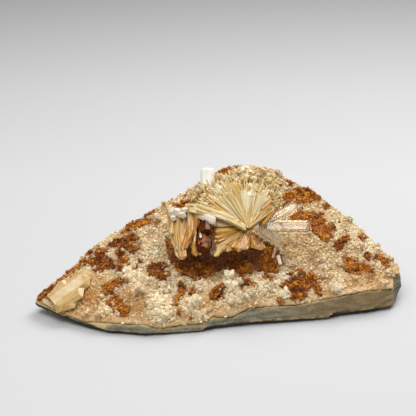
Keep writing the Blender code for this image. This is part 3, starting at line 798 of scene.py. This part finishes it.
def make_slate():
    """The slate, ledged and grained, with an undercut foot in painted shade, a darker end face, a pale rim
    and a stained right half.
    """
    slate = copy_of("slate_matrix", "slate_wedge")
    apply(slate, "REMESH", mode="VOXEL", voxel_size=0.62 * MM)
    displace(slate, 1.2, 11)
    displace(slate, 1.2, 1.5, stretch=(9, 9, 0.8), turn=(FACE_SLOPE, 0, 0), depth=3)
    displace(slate, 0.35, 1.6)
    points = points_of(slate)
    points[:, 2] = np.maximum(points[:, 2], 0)
    places, fronts, heights = zip(*FRONT_FOOT)
    behind = points[:, 1] - np.interp(points[:, 0], places, fronts)
    low = points[:, 2] < np.interp(points[:, 0], places, heights) - 0.1
    foot = low & (behind > 0) & (behind < FOOT_DEPTH)
    points[foot, 1] -= FOOT_PULL * behind[foot]
    move_points(slate, points)
    across, down = pixels_of(points)
    below = down - np.interp(across, *zip(*LIT_EDGE))
    front = (points[:, 1] < 0) & (points[:, 0] < FRONT_END)
    tops = np.clip(nearness(points, crust_tree, 1.1) * 1.6 - 0.5, 0, 1)
    glazed = np.clip((108 - across) / 4, 0, 1) * (below < 0.5)
    broken = np.array([noise.noise(point / 2.5) for point in points]) > -0.05
    lows = 0.7 * (np.abs(below) < 0.9) * broken
    set_values(slate, "rim", np.maximum(tops, np.maximum(glazed, lows) * front))
    end = 0.3 * (points[:, 0] > END_FACE)
    # Painted shade: the undercut below the lit edge and the pulled-back foot are darkened almost to black;
    # the broken end face is also made 0.3 darker all over.
    set_values(slate, "under", np.maximum(np.maximum(np.clip(below - 0.6, 0, 1), foot) * front * 0.95, end))
    stain = np.clip((points[:, 0] - 10) / 45, 0, 1) * (points[:, 0] < END_FACE)
    set_values(slate, "stain", 0.08 + 0.5 * stain)
    activate(slate)
    bpy.ops.object.shade_smooth_by_angle(angle=math.radians(35))
    return slate


def spots_on_crust(table):
    """The places of a table of pixels, with their reach and strength."""
    return [(seen_on_crust((x, y), (208, 250)), reach, strength) for x, y, reach, strength in table]


def spot_strength(points, spots):
    """The strongest of the spots' strengths at each point."""
    strengths = [
        strength * np.exp(-np.sum((points - np.array(centre)) ** 2, axis=1) / reach**2)
        for centre, reach, strength in spots
    ]
    return np.max(strengths, axis=0)


def crust_marks(points):
    """How white, golden and rusty the crust is at each point, and what covers it there."""
    x, y = ragged_pixels(points)
    covered, rim = np.zeros(len(x), bool), np.zeros(len(x), bool)
    for outline in all_patches:
        covered |= inside(outline, x, y)
        for across, down in ((2, 0), (-2, 0), (0, 2), (0, -2)):
            rim |= inside(outline, x + across, y + down)
    hollow = inside(HOLLOW, x, y)
    return {
        "white": 0.8 * spot_strength(points, white_spots) * ~hollow,
        "gold": spot_strength(points, gold_spots),
        "rust": np.where(covered | hollow, 0.9, np.where(rim, 0.3, 0.0)),
        "covered": covered, "hollow": hollow,
    }  # fmt: skip


def make_crust():
    """The massive crust, rough but for the smoother ledge where it meets the slate."""
    crust = copy_of("quartz_crust", "drusy_crust")
    apply(crust, "REMESH", mode="VOXEL", voxel_size=0.55 * MM)
    near = nearness(points_of(crust), slate_tree, LEDGE_WIDTH)
    group = crust.vertex_groups.new(name="rough")
    for k, value in enumerate(near):
        group.add([k], 1 - 0.75 * min(1.0, 1.6 * value), "REPLACE")
    displace(crust, 1.4, 4.0, depth=3, group="rough")
    displace(crust, 1.0, 1.3, basis="VORONOI_F1", depth=0, group="rough")
    marks = crust_marks(points_of(crust))
    for label in ("white", "gold", "rust"):
        set_values(crust, label, marks[label])
    set_values(crust, "tone", np.full(len(near), 0.55))
    crust.vertex_groups.clear()
    return crust


def face_samples(piece, count, rng):
    """Random places on the crust's outer side, spread evenly: points and normals in mm."""
    piece.data.calc_loop_triangles()
    corners = points_of(piece)[np.array([t.vertices for t in piece.data.loop_triangles])]
    normals = np.cross(corners[:, 1] - corners[:, 0], corners[:, 2] - corners[:, 0])
    areas = np.linalg.norm(normals, axis=1) / 2
    normals /= np.maximum(2 * areas, 1e-9)[:, None]
    areas[normals @ np.array(GROWTH) < 0.2] = 0
    chosen = rng.choice(len(areas), size=count, p=areas / areas.sum())
    a, b = rng.random(count), rng.random(count)
    flip = a + b > 1
    a[flip], b[flip] = 1 - a[flip], 1 - b[flip]
    c = corners[chosen]
    spots = c[:, 0] + (c[:, 1] - c[:, 0]) * a[:, None] + (c[:, 2] - c[:, 0]) * b[:, None]
    return spots, normals[chosen]


def small_points(crust, count, radius, length, only_clumps, rng):
    """The small points of one kind; those of a clump stand longer."""
    spots, normals = face_samples(crust, count, rng)
    marks = crust_marks(spots)
    sizes, chances, tones = rng.random(count) ** 1.5, rng.random(count), rng.random(count)
    leans, faces = rng.normal(0, 0.6, (count, 3)), rng.normal(0, 1, (count, 3))
    share = np.where(marks["covered"], 0.06, np.where(marks["hollow"], 0.35, 1.0))
    if only_clumps:
        share = np.minimum(share, marks["white"] * 1.3 - 0.15)
    near = nearness(spots, slate_tree, LEDGE_WIDTH) > 0
    share[near] = np.minimum(share[near], 0.15)
    listed = []
    for k in np.nonzero(chances < share)[0]:
        point = Vector(spots[k])
        thick = radius[0] + (radius[1] - radius[0]) * sizes[k]
        tall = length[0] + (length[1] - length[0]) * sizes[k]
        way = (Vector(normals[k]) * 0.8 + GROWTH * 0.35 + Vector(leans[k])).normalized()
        rust = 0.25 if marks["covered"][k] else marks["rust"][k]
        listed.append({"root": point - way * 0.7, "tip": point + way * (tall - 0.7),
                       "radius": thick, "face": faces[k], "tone": tones[k], "rust": rust, "cap": 1.6,
                       "white": marks["white"][k], "gold": marks["gold"][k]})  # fmt: skip
    return listed


def make_small_points(crust):
    rng = np.random.default_rng(5)
    listed = small_points(crust, FINE_POINTS, FINE_RADIUS, FINE_LENGTH, False, rng)
    listed += small_points(crust, CLUMP_POINTS, CLUMP_RADIUS, CLUMP_LENGTH, True, rng)
    template = point_template()
    pieces = []
    for first in range(0, len(listed), POINTS_PER_PIECE):
        name = f"drusy_points_{len(pieces) + 1}"
        pieces.append(quartz_points(name, listed[first : first + POINTS_PER_PIECE], template))
    bpy.data.objects.remove(template)
    return pieces


# The limonite


def make_patch(name, outline, number):
    """A limonite patch: its outline raised from the crust, then broken into hackly ribs."""
    centre = [sum(values) / len(outline) for values in zip(*outline)]
    corners = [seen_on_crust(pixel, centre) for pixel in outline]
    middle = sum(corners, Vector()) / len(corners)
    bpy.ops.mesh.primitive_circle_add(vertices=len(corners), radius=0.01, fill_type="NGON")
    patch = bpy.context.object
    patch.name = f"limonite_patch_{name}"
    activate(patch)
    for vertex, corner in zip(patch.data.vertices, corners):
        away = corner - middle
        vertex.co = (away.dot(ACROSS) * MM, away.dot(UP_FACE) * MM, -PATCH_DEPTH * MM)
    bpy.ops.object.mode_set(mode="EDIT")
    bpy.ops.mesh.select_all(action="SELECT")
    bpy.ops.mesh.extrude_region_move(
        TRANSFORM_OT_translate={"value": (0, 0, (PATCH_DEPTH + PATCH_RISE) * MM)}
    )
    bpy.ops.mesh.select_all(action="SELECT")
    bpy.ops.mesh.normals_make_consistent(inside=False)
    bpy.ops.object.mode_set(mode="OBJECT")
    apply(patch, "REMESH", mode="VOXEL", voxel_size=0.3 * MM)
    for vertex in patch.data.vertices:
        x, y, z = vertex.co / MM
        spot = middle + ACROSS * x + UP_FACE * y
        hit = crust_tree.ray_cast(spot + GROWTH * 30, -GROWTH)[0]
        if hit is not None and abs((hit - spot).dot(GROWTH)) < 8:
            spot = hit
        vertex.co = (spot + GROWTH * z) * MM
    turn = 0.5 + 1.7 * (number % 7)
    displace(patch, 1.6, 2.8, basis="VORONOI_F2_F1", depth=1)
    displace(patch, 1.4, 3.0)
    displace(patch, 0.8, 0.95, kind="WOOD", turn=(FACE_SLOPE, 0, turn))
    displace(patch, 0.6, 0.95, kind="WOOD", turn=(FACE_SLOPE, 0, turn + 1.4))
    displace(patch, 0.5, 0.9, basis="CELL_NOISE", depth=0)
    # Painted shade and light: each point's height over the crust, for its material to draw low places darker
    # and high ones lighter.
    heights = []
    for vertex in patch.data.vertices:
        found = crust_tree.find_nearest(vertex.co / MM)
        heights.append(0.1 + 0.42 * (vertex.co / MM - found[0]).dot(GROWTH))
    set_values(patch, "painted_relief_light", np.clip(heights, 0, 1))
    set_values(patch, "tone", np.full(len(heights), -0.16 if name in DARK_PATCHES else 0.06))
    return patch


def ragged_outline(outline, rng):
    """An outline with its long edges broken by small steps to either side."""
    broken = []
    for (ax, ay), (bx, by) in zip(outline, outline[1:] + outline[:1]):
        length = math.hypot(bx - ax, by - ay)
        steps = max(1, round(length / 3.2))
        for k in range(steps):
            aside = rng.uniform(-1.1, 1.1) if k else 0.0
            share = k / steps
            broken.append((ax + (bx - ax) * share - (by - ay) / length * aside,
                           ay + (by - ay) * share + (bx - ax) / length * aside))  # fmt: skip
    return tuple(broken)


def make_crumbs(crust):
    """Angular limonite crumbs that stand out of the patches, and lie in the hollow and about."""
    rng = np.random.default_rng(9)
    spots, normals = face_samples(crust, CRUMBS, rng)
    marks = crust_marks(spots)
    share = np.where(marks["covered"], 0.08, np.where(marks["hollow"], 0.35, marks["rust"] * 0.5 + 0.003))
    chances, sizes, lifts = rng.random(CRUMBS), rng.random(CRUMBS) ** 1.5, rng.random(CRUMBS)
    leans, faces = rng.normal(0, 0.8, (CRUMBS, 3)), rng.normal(0, 1, (CRUMBS, 3))
    listed = []
    for k in np.nonzero(chances < share)[0]:
        way = (GROWTH + Vector(leans[k])).normalized()
        lift = 0.3 + 1.2 * lifts[k] if marks["covered"][k] else 0.1
        point = Vector(spots[k]) + GROWTH * lift
        radius = 0.25 + 0.5 * sizes[k]
        # Painted light: a crumb that is lifted higher is drawn lighter.
        listed.append({"root": point - way * radius * 0.8, "tip": point + way * radius * 1.4,
                       "radius": radius, "face": faces[k], "flat": 0.6 + 0.4 * lifts[k], "cap": 0.3,
                       "skew": 0.5, "taper": 0.8, "painted_relief_light": 0.4 * lifts[k], "tone": -0.1})  # fmt: skip
    template = point_template()
    crumbs = quartz_points("limonite_crumbs", listed, template)
    bpy.data.objects.remove(template)
    return crumbs


# The spray


def blade(rng, root, root_height, tip, tip_height, radius, flat, gold, **further):
    """A quartz point laid out by pixels of the photo, its broad side towards the viewer."""
    origin = further.pop("origin", SPRAY_ORIGIN)
    face = GROWTH + Vector((rng.uniform(-0.35, 0.35), rng.uniform(-0.35, 0.35), 0))
    return {"root": seen_at(root, root_height, origin), "tip": seen_at(tip, tip_height, origin),
            "radius": radius, "flat": flat, "gold": gold, "tone": rng.random(), "face": face,
            "skew": rng.uniform(-0.4, 0.4), "cap": rng.uniform(0.7, 1.2), **further}  # fmt: skip


def local_point(x, y, z):
    return SPRAY_ORIGIN + ACROSS * x + UP_FACE * y + GROWTH * z


def on_arc(share):
    """The pixel at that share of the way along the fan's upper edge."""
    at = share * (len(FAN_ARC) - 1)
    k = min(int(at), len(FAN_ARC) - 2)
    return [a + (b - a) * (at - k) for a, b in zip(FAN_ARC[k], FAN_ARC[k + 1])]


def towards(pixel, reach):
    """The pixel at that share of the way from the fan's neck to another pixel."""
    return [a + (b - a) * reach for a, b in zip(FAN_NECK, pixel)]


def fan_blades(rng):
    """Flat points that widen from the neck, side by side, with a broader one here and there."""
    items = []
    for k in range(FAN_BLADES):
        share = min(1.0, max(0.0, (k + rng.uniform(-0.2, 1.2)) / FAN_BLADES))
        broad = k % 5 == 2
        root = towards(on_arc(share), rng.uniform(0.0, 0.1))
        height = 6.4 + 1.8 * math.sin(math.pi * share) + rng.uniform(-0.5, 0.5) + 0.6 * broad
        gold = rng.uniform(0.5, 1.0) if share > GOLDEN_EDGE else rng.uniform(0.0, 0.6) ** 2
        items.append(blade(rng, root, 4.2 if broad else 3.4, towards(on_arc(share), rng.uniform(0.84, 1.08)),
                           height, rng.uniform(1.1, 1.4) if broad else rng.uniform(0.6, 1.0), 0.35, gold,
                           taper=rng.uniform(1.8, 2.6), cap=2.2))  # fmt: skip
    return items


def fan_needles(rng):
    """Thin points between the fan's blades, out to its upper edge."""
    items = []
    for _ in range(NEEDLES):
        share = rng.random()
        root = towards(on_arc(share), rng.uniform(0.0, 0.3))
        gold = rng.uniform(0.3, 1.0) if share > GOLDEN_EDGE else rng.uniform(0, 0.6) ** 2
        top = 6.8 + 2.0 * math.sin(math.pi * share)
        items.append(blade(rng, root, rng.uniform(4.0, 5.5), towards(on_arc(share), rng.uniform(0.8, 1.1)),
                           top + rng.uniform(-0.8, 0.8), rng.uniform(0.2, 0.45), 0.6, gold,
                           taper=1.3, cap=1.8))  # fmt: skip
    return items


def fringe_points(rng):
    """Short points in and about the fan's upper edge, that part it from the druse less sharply."""
    items = []
    for _ in range(FRINGE_POINTS):
        reach = rng.uniform(0.78, 1.16)
        root = seen_at(towards(on_arc(rng.random()), reach), 2.0 if reach > 1 else 5.5)
        lean = Vector((rng.gauss(0, 0.7), rng.gauss(0, 0.7), rng.gauss(0, 0.3)))
        way = (GROWTH * 0.7 + (root - local_point(*NECK)).normalized() * 0.7 + lean).normalized()
        items.append({
            "root": root, "tip": root + way * rng.uniform(2.0, 4.5), "radius": rng.uniform(0.4, 1.0),
            "flat": 0.7, "gold": rng.uniform(0, 0.6) ** 2, "tone": rng.uniform(0.2, 1.0), "face": lean,
        })  # fmt: skip
    return items


def silk_needles(rng):
    """The silky bundle that runs from the neck to the fingers, and turns down into them."""
    items = []
    for k in range(SILK_NEEDLES):
        share, aside = rng.random(), rng.uniform(-4, 4)
        root = (246 - 22 * share, 228 - 14 * share + 0.7 * aside)
        tip = (212 - 28 * share, 209 - 2 * share + aside)
        items.append(blade(rng, root, rng.uniform(5, 8), tip, rng.uniform(5, 8),
                           rng.uniform(0.3, 0.75), 0.6, rng.uniform(0.0, 0.3)))  # fmt: skip
        if k % 10 == 0:
            start = rng.uniform(170, 196)
            tip = (start + rng.uniform(-4, 1), rng.uniform(226, 244))
            items.append(blade(rng, (start, 210), rng.uniform(4.5, 6.5), tip, rng.uniform(5, 7),
                               rng.uniform(0.4, 0.8), 0.6, rng.uniform(0.3, 0.8)))  # fmt: skip
    return items


def skirt_needles(rng):
    """Thin golden points under the bundle, fanning down from the neck."""
    items = []
    for _ in range(SKIRT_NEEDLES):
        share = rng.random()
        tip = (212 + 34 * share + rng.uniform(-2, 2), 228 + 22 * math.sin(0.4 + 1.3 * share))
        items.append(blade(rng, (247, 229), 2.5, tip, rng.uniform(2.0, 5.0), rng.uniform(0.4, 1.2),
                           0.5, rng.uniform(0.8, 1.0)))  # fmt: skip
    return items


def bevelled(name, listed, template, width=0.1):
    """One mesh of quartz points whose edges are rounded by that width in mm."""
    piece = quartz_points(name, listed, template)
    apply(piece, "BEVEL", width=width * MM, segments=2, limit_method="ANGLE",
          angle_limit=math.radians(20))  # fmt: skip
    return piece


def make_core():
    """The massive quartz between the spray's points, with grain that runs out from the neck.

    It stops short of the clear points, so that they stay see-through, and lies low under the blades.
    """
    core = copy_of("mango_quartz_spray", "mango_core")
    apply(core, "REMESH", mode="VOXEL", voxel_size=0.42 * MM)
    apply(core, "SMOOTH", factor=0.5, iterations=40)
    displace(core, -0.4, 4.0, middle=0.0)
    bpy.ops.object.mode_set(mode="EDIT")
    bpy.ops.mesh.select_mode(type="VERT")
    bpy.ops.mesh.select_all(action="DESELECT")
    bpy.ops.object.mode_set(mode="OBJECT")
    core.data.vertices.foreach_set("select", pixels_of(points_of(core))[0] > CLEAR_FROM)
    bpy.ops.object.mode_set(mode="EDIT")
    bpy.ops.mesh.delete(type="VERT")
    bpy.ops.mesh.select_all(action="SELECT")
    bpy.ops.mesh.fill_holes(sides=0)
    bpy.ops.object.mode_set(mode="OBJECT")
    places = points_of(core)
    heights = (places - np.array(SPRAY_ORIGIN)) @ np.array(GROWTH)
    places -= CORE_PRESS * np.maximum(heights - CORE_HEIGHT, 0)[:, None] * np.array(GROWTH)
    move_points(core, places)
    away = places - np.array(local_point(*NECK))
    far = np.linalg.norm(away, axis=1)
    ways = GRAIN_ROUND * away / far[:, None]
    grain = np.stack([ways @ np.array(ACROSS), ways @ np.array(UP_FACE), far * GRAIN_ALONG], axis=-1)
    set_grain(core, grain)
    across, down = pixels_of(points_of(core))
    skirt = (down > 228) & (across > 206)
    set_values(core, "gold", np.where(skirt, 0.9, np.where(across < 206, 0.5, 0.15)))
    set_values(core, "tone", np.full(len(far), 0.5))
    return core


def make_spray():
    """The spray: its core, then its yellow, clear, milky and rust-coated points."""
    rng = random.Random(21)
    template = point_template()
    milky = [blade(rng, *values) for values in (*GOLDEN_TIPS, *SKIRT_BLADES)] + fan_blades(rng)
    milky += [blade(rng, *values, taper=taper) for *values, taper in FINGER_BLADES]
    milky += fan_needles(rng) + fringe_points(rng) + silk_needles(rng) + skirt_needles(rng)
    clear = [blade(rng, *values, taper=1.0, cap=0.6, face=PRISM_FACE) for values in CLEAR_BLADES]
    # The knobs, and two tiny white points that stand for glints as painted highlights.
    knobs_and_glints = [blade(rng, *values, cap=0.7) for values in KNOB_AND_GLINT_BLADES]
    fan = bevelled("mango_points", milky, template)
    prisms = bevelled("clear_points", clear, template)
    white = bevelled("lilac_white_points", knobs_and_glints, template, 0.14)
    rusty = [blade(rng, *values, cap=0.3) for values in RUSTY_BLADES]
    stained = bevelled("rust_coated_points", rusty, template, 0.2)
    bpy.data.objects.remove(template)
    return make_core(), fan, prisms, white, stained


def make_large_crystals():
    """The pale crystals at the left tip, and the white one near the peak."""
    rng = random.Random(4)
    template = point_template()
    tip_place = seen_on_crust((66, 290))
    peak_place = seen_on_crust((207, 184))
    pale = [blade(rng, *values, origin=tip_place, cap=0.8) for values in PALE_BLADES]
    white = [blade(rng, *WHITE_BLADE, origin=peak_place, cap=0.35, taper=1.0)]
    pieces = bevelled("pale_points", pale, template, 0.2), bevelled("white_point", white, template, 0.25)
    bpy.data.objects.remove(template)
    return pieces


# Everything put together

# Vector noise, which breaks the patches' edges, differs from run to run unless it has a seed.
noise.seed_set(7)
make_camera()
make_studio()
crust_tree = tree_of(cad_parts["quartz_crust"])
slate_tree = tree_of(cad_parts["slate_matrix"])
rng = random.Random(8)
patches = {name: ragged_outline(outline, rng) for name, outline in LIMONITE_PATCHES.items()}
seams = [ragged_outline(outline, rng) for outline in LIMONITE_SEAMS]
all_patches = [*patches.values(), *seams]
white_spots = spots_on_crust(WHITE_CLUMPS)
gold_spots = spots_on_crust(GOLD_STAINS)

finish_piece(make_slate(), slate_material(), "slate", "slate_matrix")
crust = make_crust()
points_material = quartz_point_material()
for piece in make_small_points(crust):
    finish_piece(piece, points_material, "drusy_quartz")
finish_piece(crust, crust_material(), "drusy_quartz", "quartz_crust")

rust = limonite_material()
for number, (name, outline) in enumerate(patches.items()):
    patch = make_patch(name, outline, number)
    finish_piece(patch, rust, "limonite", f"limonite_{name}")
for number, outline in enumerate(seams):
    finish_piece(make_patch(f"seam_{number + 1}", outline, number), rust, "limonite")
finish_piece(make_crumbs(crust), rust, "limonite")

mango = mango_material("mango_quartz_points", 0.3,
                       ((0.3, "#D8AC56"), (0.42, "#E6C67A"), (0.55, "#F0DA9C"), (0.72, "#FBF0D0")),
                       ((0.36, "#7E3604"), (0.48, "#C07A08"), (0.66, "#E8B23C")))  # fmt: skip
massive = mango_material("milky_mango_core", 0.0,
                         ((0.3, "#DDB260"), (0.42, "#EACB86"), (0.55, "#F2DCA4"), (0.72, "#FAEFCE")),
                         ((0.36, "#562404"), (0.48, "#96580E"), (0.66, "#C89030")))  # fmt: skip
lilac = cloudy_material("lilac_white_quartz", "#D6C0A2", "#EEE0CC", 0.2, 0.15)
spray_materials = massive, mango, clear_material(), lilac, coated_material()
for piece, material in zip(make_spray(), spray_materials):
    finish_piece(piece, material, "mango_quartz", "mango_quartz_spray")
pale_points, white_point = make_large_crystals()
pale = cloudy_material("pale_yellow_quartz", "#CFA45C", "#E8C98C", 0.25, 0.16, 0.5)
finish_piece(pale_points, pale, "pale_quartz", "pale_crystal_group")
milk = cloudy_material("milky_quartz", "#F4F0E6", "#FFFDF6", 0.05, 0.3)
finish_piece(white_point, milk, "milky_quartz", "white_crystal")
